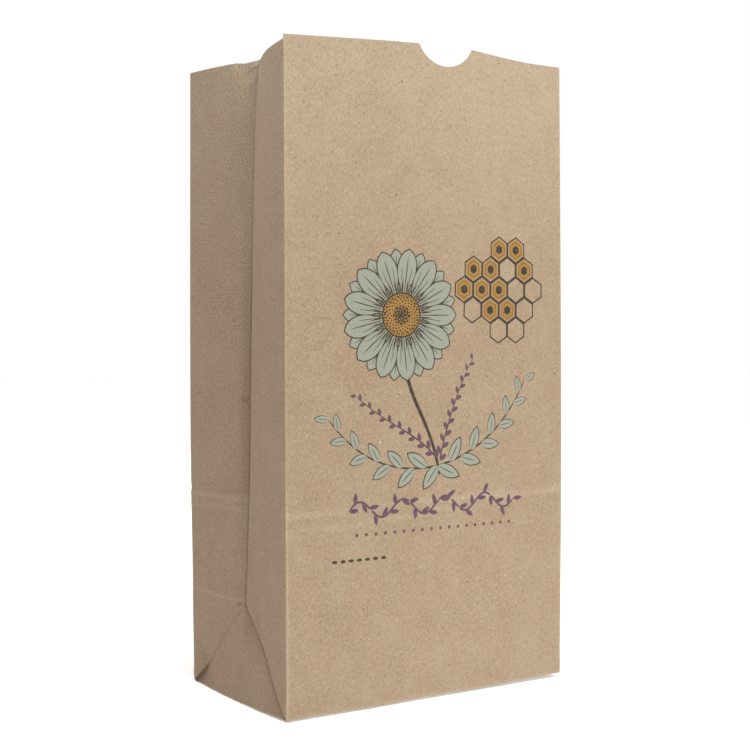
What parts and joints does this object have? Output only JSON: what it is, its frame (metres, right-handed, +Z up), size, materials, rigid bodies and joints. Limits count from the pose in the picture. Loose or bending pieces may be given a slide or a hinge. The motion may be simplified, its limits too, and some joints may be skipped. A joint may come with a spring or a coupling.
{
  "type": "self-opening paper bag",
  "caption": "Open, empty kraft paper bag with gusseted sides, a squared folded base, a lengthwise glued seam and a thumb notch in the front edge.",
  "frame": {"origin": "on the resting plane, in the middle of the bag's rectangular footprint", "axes": "+Z up through the mouth; -Y out of the front panel, which has the thumb notch; +X to the right when the front is looked at"},
  "size_m": [0.1826, 0.1331, 0.3492],
  "materials": {
    "kraft_paper": "matt natural kraft, fine fibres and flecks, with a printed pattern in four colours on the front"
  },
  "bodies": {
    "root": {"paper_bag": "kraft_paper"}
  },
  "joints": []
}
